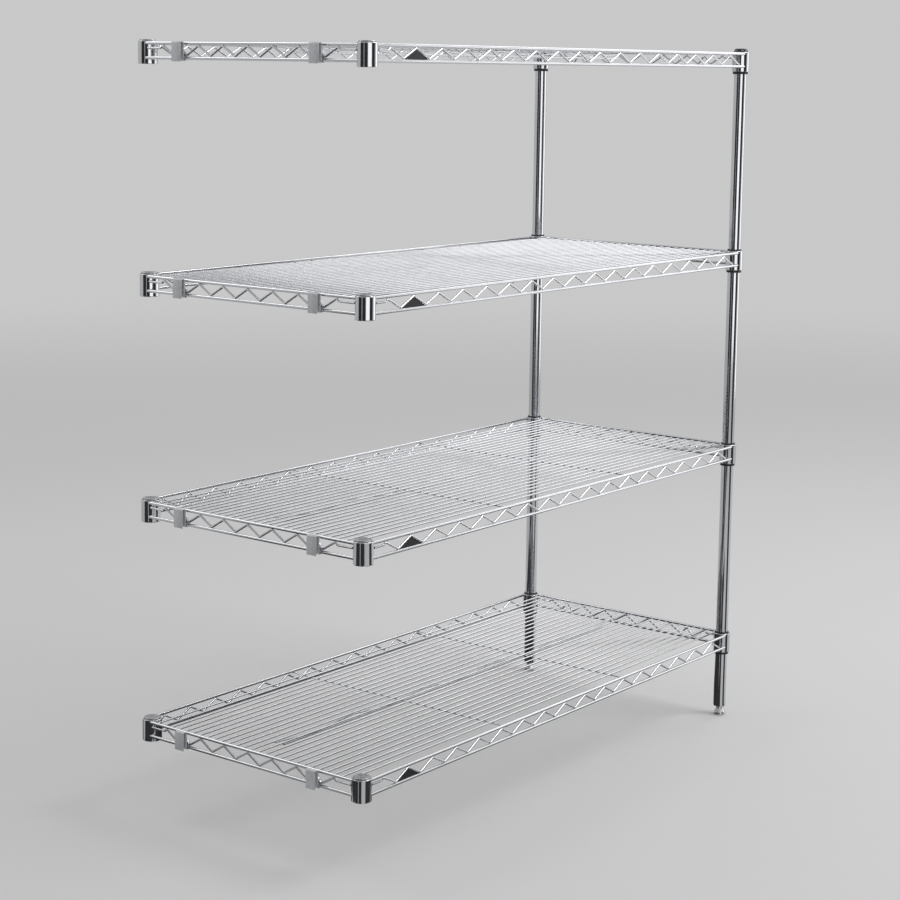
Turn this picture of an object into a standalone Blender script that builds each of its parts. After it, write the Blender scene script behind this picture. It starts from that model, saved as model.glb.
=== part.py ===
"""Add-on wire shelving unit: four welded wire shelves on two posts.

The right end stands on two round posts. The left end has no posts: flat S-hooks on the end
rails hang it on a neighbouring unit. Each shelf has a collar at each corner, two-wire rails
with a zigzag wire between them, and a deck of lengthwise wires. Split sleeves, thicker at
the foot, clip round the posts, and the collars wedge down on them.
"""
import math

import bmesh
import bpy
from mathutils import Matrix, Vector

# Shelves, over their collars, and where they stand
SHELF_COUNT = 4
SHELF_LENGTH = 1.2192
SHELF_DEPTH = 0.5334
SHELF_PITCH = 0.4064
LOWEST_COLLAR = 0.139

# Posts, their caps, threaded inserts and levelling feet
POST_RADIUS = 0.0127
POST_WALL = 0.0016
POST_ABOVE_COLLAR = 0.0038
GROOVE_DEPTH = 0.0008
GROOVE_HEIGHT = 0.0026
CAP_OVERHANG = 0.0005
CAP_THICKNESS = 0.0028
CAP_PLUG = 0.014
INSERT_HEIGHT = 0.020
FOOT_HEIGHT = 0.019
FOOT_RADIUS = 0.0122
FOOT_NECK_RADIUS = 0.0066
STEM_RADIUS = 0.0047
FOOT_TRAVEL = 0.025

# Split sleeves, the collars that seat on them, and the plugs of the collars without a post
SLEEVE_WALL = 0.0013
SLEEVE_ABOVE = 0.003
SLEEVE_BELOW = 0.005
SEAT_TAPER = 0.001
COLLAR_WALL = 0.0018
COLLAR_HEIGHT = 0.040
PLUG_LEDGE = 0.0026
PLUG_RISE = 0.0026
PLUG_THICKNESS = 0.0045

# Wires
RAIL_WIRE = 0.0056
RAIL_SPACING = 0.0254
RAIL_BELOW_COLLAR_TOP = 0.0040
ZIGZAG_WIRE = 0.0040
DECK_WIRE = 0.0032
DECK_PITCH = 0.0177
DECK_SEAT = 0.0002
KEEL_WIRE = 0.0036
KEEL_BELOW_RAIL = 0.013
KEEL_TOOTH = 0.105
KEEL_FROM_END = 0.004

# Zigzag bends, measured from the collars' centres
FRONT_FIRST_PEAK = 0.042
FRONT_LAST_VALLEY = 0.030
FRONT_TOOTH = 0.0675
END_FIRST_PEAK = 0.050
END_FIRST_VALLEY = 0.079
NARROW_TOOTH = 0.028
END_TOOTH = 0.0572
STRETCH_BELOW_RAIL = 0.0085
STRETCH_RISE = 0.005

# S-hooks, bent from flat strip
HOOK_WIDTH = 0.021
HOOK_STRIP = 0.0015
HOOK_INNER_LEG = 0.010
HOOK_OUTER_LEG_DROP = 0.0056
NEIGHBOUR_DROP = 0.0012

# Fits
SEAT_GAP = 0.0003
SIDES = 12

CHROME = ("chrome", (0.80, 0.81, 0.83), 0.10, 1.0)
ZINC = ("zinc_plate", (0.56, 0.59, 0.63), 0.42, 1.0)
BLACK_PLASTIC = ("black_plastic", (0.018, 0.018, 0.020), 0.45, 0.0)
BRIGHT_STEEL = ("bright_steel", (0.70, 0.71, 0.73), 0.22, 1.0)

# Sizes that follow from the ones above
rail_half = RAIL_WIRE / 2
zigzag_half = ZIGZAG_WIRE / 2
deck_half = DECK_WIRE / 2
sleeve_bore = POST_RADIUS + SEAT_GAP
collar_bore_top = sleeve_bore + SLEEVE_WALL + SEAT_GAP
collar_bore_foot = collar_bore_top + SEAT_TAPER
collar_radius = collar_bore_foot + COLLAR_WALL
collar_x = SHELF_LENGTH / 2 - collar_radius
collar_y = SHELF_DEPTH / 2 - collar_radius
rail_top = COLLAR_HEIGHT - RAIL_BELOW_COLLAR_TOP
rail_foot = rail_top - RAIL_SPACING
rail_outset = collar_radius / math.sqrt(2)
hook_slot = RAIL_WIRE + 2 * SEAT_GAP
hook_reach = rail_outset + rail_half + SEAT_GAP + HOOK_STRIP + hook_slot + HOOK_STRIP
centring = (hook_reach - collar_radius) / 2
post_x = collar_x + centring
post_top = LOWEST_COLLAR + (SHELF_COUNT - 1) * SHELF_PITCH + COLLAR_HEIGHT + POST_ABOVE_COLLAR
hook_y = collar_y - END_FIRST_VALLEY - NARROW_TOOTH / 2

# The clear heights between the two wires of a rail
low_edge = rail_foot + rail_half
high_edge = rail_top - rail_half


def material(finish):
    """The material of a finish, made once."""
    name, colour, roughness, metallic = finish
    made = bpy.data.materials.get(name)
    if made is None:
        made = bpy.data.materials.new(name)
        made.use_nodes = True
        shader = made.node_tree.nodes["Principled BSDF"]
        shader.inputs["Base Color"].default_value = (*colour, 1.0)
        shader.inputs["Roughness"].default_value = roughness
        shader.inputs["Metallic"].default_value = metallic
    return made


def shape(name, body, finish, smooth_angle=35.0):
    """A mesh from a finished bmesh: welded, with outward faces, and smooth where it is round."""
    bmesh.ops.remove_doubles(body, verts=body.verts, dist=1e-6)
    bmesh.ops.recalc_face_normals(body, faces=body.faces)
    mesh = bpy.data.meshes.new(name)
    body.to_mesh(mesh)
    body.free()
    mesh.shade_smooth()
    mesh.set_sharp_from_angle(angle=math.radians(smooth_angle))
    mesh.materials.append(material(finish))
    return mesh


def place(name, mesh, x, y, z):
    """An object of its own at a place; like pieces share their mesh."""
    made = bpy.data.objects.new(name, mesh)
    made.location = (x, y, z)
    bpy.context.collection.objects.link(made)
    return made


# Turned pieces


def spun(profile, sides=SIDES):
    """A closed profile of (radius, height) points spun right round the Z axis."""
    body = bmesh.new()
    points = [body.verts.new((radius, 0.0, height)) for radius, height in profile]
    edges = [body.edges.new(pair) for pair in zip(points, points[1:] + points[:1]) if shows(*pair)]
    bmesh.ops.spin(body, geom=points + edges, cent=(0.0, 0.0, 0.0), axis=(0.0, 0.0, 1.0),
                   angle=2 * math.pi, steps=sides, use_duplicate=False)
    return body


def shows(first, second):
    """Whether an edge of a profile is more than a stretch of the axis itself."""
    return first.co.x > 0.0 or second.co.x > 0.0


def half_spun(profile, facing, gap):
    """The same profile spun half round as a solid shell, less a gap at each of its edges."""
    body = bmesh.new()
    section = body.faces.new([body.verts.new((radius, 0.0, height)) for radius, height in profile])
    bmesh.ops.rotate(body, verts=body.verts, cent=(0.0, 0.0, 0.0),
                     matrix=Matrix.Rotation(facing - math.pi / 2 + gap, 3, "Z"))
    bmesh.ops.spin(body, geom=[section], cent=(0.0, 0.0, 0.0), axis=(0.0, 0.0, 1.0),
                   angle=math.pi - 2 * gap, steps=SIDES // 2, use_duplicate=False)
    return body


def collar():
    """Corner sleeve of a shelf: a ring whose bore widens towards its foot."""
    return shape("collar", spun([(collar_radius, 0.0), (collar_radius, COLLAR_HEIGHT),
                                 (collar_bore_top, COLLAR_HEIGHT), (collar_bore_foot, 0.0)]), CHROME)


def plugged_collar():
    """Collar without a post, closed by a plug whose low round head stands on its top."""
    head = collar_radius - PLUG_LEDGE
    crown = COLLAR_HEIGHT + PLUG_RISE
    plug_foot = crown - PLUG_THICKNESS
    seat = collar_bore_top + SEAT_TAPER * (COLLAR_HEIGHT - plug_foot) / COLLAR_HEIGHT
    profile = [(collar_radius, 0.0), (collar_radius, COLLAR_HEIGHT), (head, COLLAR_HEIGHT), (head, crown),
               (0.0, crown), (0.0, plug_foot), (seat, plug_foot), (collar_bore_foot, 0.0)]
    return shape("plugged_collar", spun(profile), CHROME)


def sleeve_half(facing):
    """Half of a split sleeve, thicker at its foot, with a rib that clips into the post's groove."""
    slope = SEAT_TAPER / COLLAR_HEIGHT
    top = COLLAR_HEIGHT + SLEEVE_ABOVE
    foot = -SLEEVE_BELOW
    outer_top = collar_bore_top - SEAT_GAP - slope * SLEEVE_ABOVE
    outer_foot = collar_bore_foot - SEAT_GAP + slope * SLEEVE_BELOW
    middle = COLLAR_HEIGHT / 2
    rib_half = GROOVE_HEIGHT / 2 - SEAT_GAP
    profile = [(outer_foot, foot), (outer_top, top), (sleeve_bore, top), (sleeve_bore, middle + rib_half),
               (sleeve_bore - GROOVE_DEPTH, middle), (sleeve_bore, middle - rib_half), (sleeve_bore, foot)]
    return shape("sleeve_half", half_spun(profile, facing, SEAT_GAP / sleeve_bore), BLACK_PLASTIC)


def post():
    """Tube with one locating groove for each shelf's sleeve."""
    outer = [(POST_RADIUS, FOOT_HEIGHT)]
    for k in range(SHELF_COUNT):
        middle = LOWEST_COLLAR + k * SHELF_PITCH + COLLAR_HEIGHT / 2
        outer += [(POST_RADIUS, middle - GROOVE_HEIGHT / 2), (POST_RADIUS - GROOVE_DEPTH, middle),
                  (POST_RADIUS, middle + GROOVE_HEIGHT / 2)]
    bore = POST_RADIUS - POST_WALL
    return shape("post", spun(outer + [(POST_RADIUS, post_top), (bore, post_top), (bore, FOOT_HEIGHT)]), CHROME)


def cap():
    """Low domed cap whose plug fills the post's top end."""
    rim = POST_RADIUS + CAP_OVERHANG
    plug = POST_RADIUS - POST_WALL - SEAT_GAP
    profile = [(0.0, SEAT_GAP + CAP_THICKNESS), (rim * 0.72, SEAT_GAP + CAP_THICKNESS * 0.86),
               (rim, SEAT_GAP + CAP_THICKNESS * 0.3), (rim, SEAT_GAP), (plug, SEAT_GAP),
               (plug, -CAP_PLUG), (0.0, -CAP_PLUG)]
    return shape("cap", spun(profile), BLACK_PLASTIC)


def foot_insert():
    """Plug in the post's lower end, whose bore takes the foot's stem."""
    outer = POST_RADIUS - POST_WALL - SEAT_GAP
    bore = STEM_RADIUS + SEAT_GAP
    profile = [(outer, 0.0), (outer, INSERT_HEIGHT), (bore, INSERT_HEIGHT), (bore, 0.0)]
    return shape("foot_insert", spun(profile), BRIGHT_STEEL)


def foot():
    """Bell-shaped levelling foot on a stem, screwed right in."""
    crown = FOOT_HEIGHT - SEAT_GAP
    stem_top = FOOT_HEIGHT + INSERT_HEIGHT + FOOT_TRAVEL
    profile = [(0.0, 0.0), (FOOT_RADIUS, 0.0), (FOOT_RADIUS, crown * 0.12),
               (FOOT_RADIUS * 0.82, crown * 0.42), (FOOT_NECK_RADIUS, crown * 0.78), (FOOT_NECK_RADIUS, crown),
               (STEM_RADIUS, crown), (STEM_RADIUS, stem_top), (0.0, stem_top)]
    return shape("foot", spun(profile), BRIGHT_STEEL)


# Pieces cut as a flat outline and extruded


def ring(body, loop, depth=0.0):
    """A closed chain of edges through (run, height) points, upright at a depth."""
    points = [body.verts.new((run, depth, height)) for run, height in loop]
    return [body.edges.new(pair) for pair in zip(points, points[1:] + points[:1])]


def fill(body, loops, depth=0.0):
    """A flat face inside its first loop, with the other loops as holes; returns all their edges."""
    edges = [edge for loop in loops for edge in ring(body, loop, depth)]
    bmesh.ops.triangle_fill(body, edges=edges, use_beauty=True)
    return edges


def walls(body, edges, step):
    """Extrudes edges by a step and returns the new corners."""
    grown = bmesh.ops.extrude_edge_only(body, edges=edges)["geom"]
    corners = [item for item in grown if isinstance(item, bmesh.types.BMVert)]
    bmesh.ops.translate(body, verts=corners, vec=step)
    return corners


def prism(loops, width):
    """A closed solid of a flat shape, centred on the XZ plane."""
    body = bmesh.new()
    walls(body, fill(body, loops, -width / 2), (0.0, width, 0.0))
    fill(body, loops, width / 2)
    return body


def s_hook():
    """Flat strip bent to an S: under this shelf's lower wire, over the neighbour's upper wire."""
    near = rail_half + SEAT_GAP
    web = near + HOOK_STRIP
    far = web + hook_slot
    outer = far + HOOK_STRIP
    slot_top = rail_top - NEIGHBOUR_DROP + near
    chamfer = HOOK_STRIP * 0.8
    curl = hook_slot * 0.3
    loop_foot = rail_foot - near - HOOK_STRIP
    leg_foot = rail_foot - HOOK_OUTER_LEG_DROP
    leg_top = rail_foot + HOOK_INNER_LEG
    outline = [
        (near, leg_top), (near, rail_foot - near), (-near, rail_foot - near),
        (-near, slot_top + HOOK_STRIP - curl), (-near - curl, slot_top + HOOK_STRIP),
        (-outer + curl, slot_top + HOOK_STRIP), (-outer, slot_top + HOOK_STRIP - curl), (-outer, leg_foot),
        (-far, leg_foot), (-far, slot_top - curl * 0.6), (-far + curl * 0.6, slot_top),
        (-web - curl * 0.6, slot_top), (-web, slot_top - curl * 0.6),
        (-web, loop_foot + chamfer), (-web + chamfer, loop_foot),
        (web - chamfer, loop_foot), (web, loop_foot + chamfer), (web, leg_top),
    ]
    return shape("s_hook", prism([outline], HOOK_WIDTH), ZINC)


# Zigzag wires


def shifted(start, end, distance):
    """The line from start to end moved to its left by a distance."""
    direction = (Vector(end) - Vector(start)).normalized()
    step = Vector((-direction.y, direction.x)) * distance
    return Vector(start) + step, Vector(end) + step


def meet(first, second):
    """Where two lines cross, as a point of the second."""
    (ax, ay), (bx, by) = first
    (cx, cy), (dx, dy) = second
    det = (bx - ax) * (dy - cy) - (by - ay) * (dx - cx)
    t = ((cx - ax) * (by - ay) - (cy - ay) * (bx - ax)) / det
    return cx + t * (dx - cx), cy + t * (dy - cy)


def level(height):
    """A level line at a height."""
    return Vector((0.0, height)), Vector((1.0, height))


def bend_at(run, peak):
    """A bend of a rail's zigzag, where it touches the upper or the lower wire."""
    inset = rail_half + zigzag_half
    return run, rail_top - inset if peak else rail_foot + inset


def spaced_bends(start, step, count, peak_first):
    return [bend_at(start + i * step, (i % 2 == 0) == peak_first) for i in range(count)]


def front_bends():
    """Bends of a long rail's zigzag: a peak first, a valley last."""
    room = 2 * collar_x - FRONT_FIRST_PEAK - FRONT_LAST_VALLEY
    halves = 2 * round(room / FRONT_TOOTH - 0.5) + 1
    return spaced_bends(FRONT_FIRST_PEAK, room / halves, halves + 1, True)


def end_bends():
    """Bends of an end rail's zigzag: a narrow tooth at each end, where the S-hooks sit."""
    narrow = [END_FIRST_PEAK, END_FIRST_VALLEY, END_FIRST_VALLEY + NARROW_TOOTH / 2]
    first = END_FIRST_VALLEY + NARROW_TOOTH
    teeth = max(1, round((2 * collar_y - 2 * first) / END_TOOTH))
    half = (collar_y - first) / teeth
    left = [bend_at(s, i % 2 == 0) for i, s in enumerate(narrow)]
    right = [bend_at(2 * collar_y - s, i % 2 == 0) for i, s in enumerate(narrow)]
    return left + spaced_bends(first, half, 2 * teeth + 1, False) + right[::-1]


def windows_of(bends, foot, crown, half):
    """Windows between a zigzag wire and the two wires that it is welded to."""
    windows = []
    for before, bend, after in zip(bends, bends[1:], bends[2:]):
        peak = bend[1] > before[1]
        side = -half if peak else half
        rising = shifted(before, bend, side)
        falling = shifted(bend, after, side)
        edge = level(foot if peak else crown)
        windows.append([meet(rising, edge), meet(rising, falling), meet(falling, edge)])
    return windows


# Rails: two wires and their zigzag, cut at each end to a mitre that seats on the collar


def mitre(outset):
    """Distance along the run from a collar's axis to the cut end of a wire at an outset."""
    return math.sqrt(2) * (collar_radius * math.cos(math.pi / SIDES) + SEAT_GAP) - outset


def level_start(peak, valley, outset):
    """Outline of an end whose zigzag wire leaves the collar level, then rises to a short peak."""
    height = rail_top - STRETCH_BELOW_RAIL
    knee = (peak[0] - STRETCH_RISE, height)
    stretch = ((0.0, height), knee)
    upper = shifted(*stretch, zigzag_half)
    lower = shifted(*stretch, -zigzag_half)
    rise = shifted(knee, peak, zigzag_half)
    fall = shifted(peak, valley, -zigzag_half)
    outline = [
        (0.0, high_edge), meet(rise, level(high_edge)), meet(upper, rise), (0.0, upper[0].y),
        (0.0, lower[0].y), meet(lower, fall), meet(fall, level(low_edge)), (0.0, low_edge),
    ]
    return [(s if s else mitre(outset), z) for s, z in outline]


def plain_finish(peak, valley, run, outset):
    """Outline of an end whose zigzag wire stops at its last valley."""
    fall = shifted(peak, valley, zigzag_half)
    end = run - mitre(outset)
    return [(end, high_edge), meet(fall, level(high_edge)), meet(fall, level(low_edge)), (end, low_edge)]


def rail_outline(bends, run, outset, alike):
    """Whole outline of a rail at an outset from the collars' axes; alike rails end as they start."""
    crown = rail_top + rail_half
    sole = rail_foot - rail_half
    start = level_start(bends[0], bends[1], outset)
    if alike:
        finish = [(run - s, z) for s, z in start]
    else:
        finish = plain_finish(bends[-2], bends[-1], run, outset)
    near = mitre(outset)
    return ([(near, sole), (run - near, sole)] + finish[::-1]
            + [(run - near, crown), (near, crown)] + start)


def rail(bends, run, alike, sockets):
    """A rail with its outer face at depth 0, and sockets in its inner face for welded wires."""
    body = bmesh.new()
    windows = windows_of(bends, low_edge, high_edge, zigzag_half)
    outer = rail_outline(bends, run, rail_outset + rail_half, alike)
    inner = rail_outline(bends, run, rail_outset - rail_half, alike)
    cut_end = mitre(rail_outset + rail_half) + SEAT_GAP
    for corner in walls(body, fill(body, [outer] + windows), (0.0, RAIL_WIRE, 0.0)):
        if corner.co.x < cut_end:
            corner.co.x += RAIL_WIRE
        elif corner.co.x > run - cut_end:
            corner.co.x -= RAIL_WIRE
    fill(body, [inner] + windows + sockets, RAIL_WIRE)
    return body


def long_rail(side):
    """Front or rear rail; side is -1 at the front and 1 at the rear."""
    body = rail(front_bends(), 2 * collar_x, False, [])
    outer_face = collar_y + rail_outset + rail_half
    turn = Matrix.Diagonal((1.0, -side, 1.0, 1.0))
    bmesh.ops.transform(body, verts=body.verts, matrix=Matrix.Translation((-collar_x, side * outer_face, 0.0)) @ turn)
    return shape("long_rail", body, CHROME)


# Deck: the wires, the end rails that they are welded to, and a keel under the middle wire


def rectangle(left, right, foot, crown):
    return [(left, foot), (right, foot), (right, crown), (left, crown)]


def deck_lines():
    """Distances of the deck wires from the shelf's middle, clear of the collars."""
    room = collar_y - collar_radius - deck_half - 4 * SEAT_GAP
    half_count = round(room / DECK_PITCH)
    return [room * i / half_count for i in range(-half_count, half_count + 1)]


def keel(reach, sole, crown):
    """The middle deck wire with a lower wire under it, tied by a zigzag of its own."""
    keel_foot = rail_top - KEEL_BELOW_RAIL - KEEL_WIRE / 2
    keel_top = keel_foot + KEEL_WIRE
    overrun = DECK_WIRE / (sole - keel_top - DECK_WIRE)
    room = reach - KEEL_FROM_END
    halves = max(1, round(room / KEEL_TOOTH - overrun))
    step = room / (halves + overrun)
    bends = [((i - halves) * step, sole - deck_half if i % 2 == 0 else keel_top + deck_half)
             for i in range(2 * halves + 1)]
    slant = shifted(bends[0], bends[1], -deck_half)
    reach_top = -meet(slant, level(sole))[0]
    reach_foot = -meet(slant, level(keel_foot))[0]
    outline = [(-reach, crown), (-reach, sole), (-reach_top, sole), (-reach_foot, keel_foot),
               (reach_foot, keel_foot), (reach_top, sole), (reach, sole), (reach, crown)]
    body = prism([outline] + windows_of(bends, keel_top, sole, deck_half), DECK_WIRE)
    ends = [face for face in body.faces if abs(face.calc_center_median().x) > reach - 1e-6]
    bmesh.ops.delete(body, geom=ends, context="FACES_ONLY")
    return body


def deck():
    """One welded piece: end rails, deck wires drawn from socket to socket, and the keel."""
    inner_face = collar_x + rail_outset - rail_half
    sole = high_edge + DECK_SEAT
    crown = sole + DECK_WIRE
    lines = deck_lines()
    sockets = [rectangle(y + collar_y - deck_half, y + collar_y + deck_half, sole, crown) for y in lines]
    whole = bmesh.new()
    for end in (-1, 1):
        body = rail(end_bends(), 2 * collar_y, True, sockets)
        turn = Matrix(((0.0, -end, 0.0, end * (inner_face + RAIL_WIRE)), (1.0, 0.0, 0.0, -collar_y),
                       (0.0, 0.0, 1.0, 0.0), (0.0, 0.0, 0.0, 1.0)))
        bmesh.ops.transform(body, verts=body.verts, matrix=turn)
        join(whole, body)
    wires = bmesh.new()
    for y in lines:
        if abs(y) > deck_half:
            section = ring(wires, rectangle(y - deck_half, y + deck_half, sole, crown))
            for corner in {vert for edge in section for vert in edge.verts}:
                corner.co = (-inner_face, corner.co.x, corner.co.z)
            walls(wires, section, (2 * inner_face, 0.0, 0.0))
    join(whole, wires)
    join(whole, keel(inner_face, sole, crown))
    return shape("deck", whole, CHROME)


def join(whole, body):
    """Adds a bmesh to another."""
    mesh = bpy.data.meshes.new("joined")
    body.to_mesh(mesh)
    body.free()
    whole.from_mesh(mesh)
    bpy.data.meshes.remove(mesh)


for leftover in list(bpy.data.objects):
    bpy.data.objects.remove(leftover, do_unlink=True)

post_shape = post()
cap_shape = cap()
insert_shape = foot_insert()
foot_shape = foot()
sleeve_shapes = (("outer", sleeve_half(0.0)), ("inner", sleeve_half(math.pi)))
deck_shape = deck()
rail_shapes = {"front": long_rail(-1), "rear": long_rail(1)}
collar_shape = collar()
plugged_shape = plugged_collar()
hook_shape = s_hook()

for row, side in (("front", -1), ("rear", 1)):
    y = side * collar_y
    place(f"post_{row}", post_shape, post_x, y, 0.0)
    place(f"post_cap_{row}", cap_shape, post_x, y, post_top)
    place(f"foot_insert_{row}", insert_shape, post_x, y, FOOT_HEIGHT)
    place(f"foot_{row}", foot_shape, post_x, y, 0.0)
    for k in range(SHELF_COUNT):
        base = LOWEST_COLLAR + k * SHELF_PITCH
        for half, sleeve_shape in sleeve_shapes:
            place(f"sleeve_{k + 1}_{row}_{half}", sleeve_shape, post_x, y, base)

for k in range(SHELF_COUNT):
    base = LOWEST_COLLAR + k * SHELF_PITCH
    place(f"shelf_{k + 1}_deck", deck_shape, centring, 0.0, base)
    for row, side in (("front", -1), ("rear", 1)):
        place(f"shelf_{k + 1}_{row}_rail", rail_shapes[row], centring, 0.0, base)
        place(f"shelf_{k + 1}_{row}_left_collar", plugged_shape, centring - collar_x, side * collar_y, base)
        place(f"shelf_{k + 1}_{row}_right_collar", collar_shape, post_x, side * collar_y, base)
        place(f"s_hook_{k + 1}_{row}", hook_shape, centring - collar_x - rail_outset, side * hook_y, base)
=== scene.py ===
"""Looks of a chrome wire shelving unit that hangs from a like unit at its left end."""
import math

import bmesh
import bpy
from mathutils import Matrix, Vector


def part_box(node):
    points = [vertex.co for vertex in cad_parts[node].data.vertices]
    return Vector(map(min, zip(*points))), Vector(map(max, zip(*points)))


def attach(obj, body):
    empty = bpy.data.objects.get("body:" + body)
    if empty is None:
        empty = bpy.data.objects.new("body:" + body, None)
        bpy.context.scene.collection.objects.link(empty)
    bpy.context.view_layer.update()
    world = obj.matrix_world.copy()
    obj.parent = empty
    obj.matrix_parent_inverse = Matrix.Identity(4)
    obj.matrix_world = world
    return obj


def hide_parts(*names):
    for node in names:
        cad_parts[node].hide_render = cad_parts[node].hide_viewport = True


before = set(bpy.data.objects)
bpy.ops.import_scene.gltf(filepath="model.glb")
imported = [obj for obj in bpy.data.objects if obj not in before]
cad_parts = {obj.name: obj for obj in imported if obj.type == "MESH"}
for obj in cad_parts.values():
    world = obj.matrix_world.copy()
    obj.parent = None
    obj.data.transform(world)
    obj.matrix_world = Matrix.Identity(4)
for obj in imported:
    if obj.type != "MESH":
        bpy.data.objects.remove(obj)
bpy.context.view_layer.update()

# Posts
# Two round steel tubes at the right end, bent from strip, welded, polished and bright chrome plated.
# They carry the right ends of all the shelves.


def new_material(name):
    """A material, its node tree, and the object coordinates in it."""
    material = bpy.data.materials.new(name)
    material.use_nodes = True
    place = material.node_tree.nodes.new("ShaderNodeTexCoord")
    return material, material.node_tree, place.outputs["Object"]


def noise(tree, place, scale, detail):
    """Smooth noise over the surface."""
    cloud = tree.nodes.new("ShaderNodeTexNoise")
    cloud.inputs["Scale"].default_value = scale
    cloud.inputs["Detail"].default_value = detail
    tree.links.new(place, cloud.inputs["Vector"])
    return cloud.outputs["Fac"]


def tint_by(tree, factor, stops):
    """A base colour between two stops, each a place on the ramp and a colour."""
    tint = tree.nodes.new("ShaderNodeValToRGB")
    for element, (position, colour) in zip(tint.color_ramp.elements, stops):
        element.position = position
        element.color = (*colour, 1.0)
    tree.links.new(factor, tint.inputs["Fac"])
    tree.links.new(tint.outputs["Color"], tree.nodes["Principled BSDF"].inputs["Base Color"])


def roughen_by(tree, factor, smoothest, roughest, span=(0.0, 1.0)):
    """A roughness between two values, over a span of the factor."""
    blur = tree.nodes.new("ShaderNodeMapRange")
    blur.inputs["From Min"].default_value = span[0]
    blur.inputs["From Max"].default_value = span[1]
    blur.inputs["To Min"].default_value = smoothest
    blur.inputs["To Max"].default_value = roughest
    tree.links.new(factor, blur.inputs["Value"])
    tree.links.new(blur.outputs["Result"], tree.nodes["Principled BSDF"].inputs["Roughness"])


def emboss_by(tree, height, strength, distance):
    """A fine relief in the surface."""
    relief = tree.nodes.new("ShaderNodeBump")
    relief.inputs["Strength"].default_value = strength
    relief.inputs["Distance"].default_value = distance
    tree.links.new(height, relief.inputs["Height"])
    tree.links.new(relief.outputs["Normal"], tree.nodes["Principled BSDF"].inputs["Normal"])


def chrome(name, colour, roughness, grain, haze=0.035):
    """Bright plating: faint cloudy haze, fine marks along the grain, and a slight waviness."""
    plated, tree, place = new_material(name)
    tree.nodes["Principled BSDF"].inputs["Metallic"].default_value = 1.0
    cloud = noise(tree, place, scale=14.0, detail=4.0)
    hazy = [c * 0.93 for c in colour]
    tint_by(tree, cloud, ((0.3, hazy), (0.7, colour)))
    stretch = tree.nodes.new("ShaderNodeMapping")
    stretch.inputs["Scale"].default_value = grain
    tree.links.new(place, stretch.inputs["Vector"])
    marks = noise(tree, stretch.outputs["Vector"], scale=1.0, detail=3.0)
    roughen_by(tree, marks, roughness, roughness + haze, span=(0.35, 0.7))
    emboss_by(tree, marks, strength=0.025, distance=0.0002)
    return plated


def finish_mesh(body, name, surface, angle):
    """A closed mesh object from a bmesh, outward faces, smooth up to the given angle."""
    bmesh.ops.remove_doubles(body, verts=body.verts, dist=2e-6)
    bmesh.ops.recalc_face_normals(body, faces=body.faces)
    mesh = bpy.data.meshes.new(name)
    body.to_mesh(mesh)
    body.free()
    mesh.shade_smooth()
    mesh.set_sharp_from_angle(angle=math.radians(angle))
    mesh.materials.append(surface)
    piece = bpy.data.objects.new(name, mesh)
    bpy.context.collection.objects.link(piece)
    return piece


def turned(name, profile, centre, surface, sides=64, closed=False, angle=40):
    """A profile of (radius, height) points, top to bottom on the outside, spun round a vertical axis."""
    body = bmesh.new()
    ring = [body.verts.new((centre[0] + r, centre[1], z)) for r, z in profile]
    edges = [body.edges.new(pair) for pair in zip(ring, ring[1:])]
    if closed:
        edges.append(body.edges.new((ring[-1], ring[0])))
    bmesh.ops.spin(body, geom=ring + edges, cent=(centre[0], centre[1], 0.0), axis=(0.0, 0.0, 1.0),
                   angle=2 * math.pi, steps=sides, use_duplicate=False)
    return finish_mesh(body, name, surface, angle)


def middle(node):
    """Centre of a CAD node in plan, with its lowest and highest points."""
    low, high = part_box(node)
    return (low[0] + high[0]) / 2, (low[1] + high[1]) / 2, low[2], high[2]


rows = ("front", "rear")
post_radius = 0.0127
post_wall = 0.0016
post_edge = 0.0003
post_chrome = chrome("post_chrome", (0.66, 0.67, 0.69), 0.07, (900.0, 900.0, 9.0))
for row in rows:
    x, y, foot, crown = middle(f"post_{row}")
    bore = post_radius - post_wall
    post = turned(f"post_tube_{row}", [
        (post_radius - post_edge, crown), (post_radius, crown - post_edge),
        (post_radius, foot + post_edge), (post_radius - post_edge, foot),
        (bore, foot), (bore, crown),
    ], (x, y), post_chrome, sides=96, closed=True)
    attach(post, "posts")
    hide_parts(f"post_{row}")

# Levelling feet
# Bell-shaped plated steel feet, each on a threaded stem that screws into an insert pressed
# into the foot of the post.


def worn_steel(name, colour, roughness, metallic=1.0):
    """Zinc-bright steel with a mottled finish and small rubbed spots; a dull coat is less metallic."""
    steel, tree, place = new_material(name)
    tree.nodes["Principled BSDF"].inputs["Metallic"].default_value = metallic
    spangle = tree.nodes.new("ShaderNodeTexVoronoi")
    spangle.inputs["Scale"].default_value = 420.0
    tree.links.new(place, spangle.inputs["Vector"])
    mottle = noise(tree, place, scale=160.0, detail=6.0)
    blend = tree.nodes.new("ShaderNodeMix")
    blend.data_type = "FLOAT"
    blend.inputs["Factor"].default_value = 0.35
    tree.links.new(mottle, blend.inputs["A"])
    tree.links.new(spangle.outputs["Distance"], blend.inputs["B"])
    dark = [c * 0.82 for c in colour]
    bright = [min(1.0, c * 1.08) for c in colour]
    tint_by(tree, blend.outputs["Result"], ((0.25, dark), (0.75, bright)))
    roughen_by(tree, mottle, roughness - 0.06, roughness + 0.10)
    emboss_by(tree, mottle, strength=0.15, distance=0.0001)
    return steel


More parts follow.
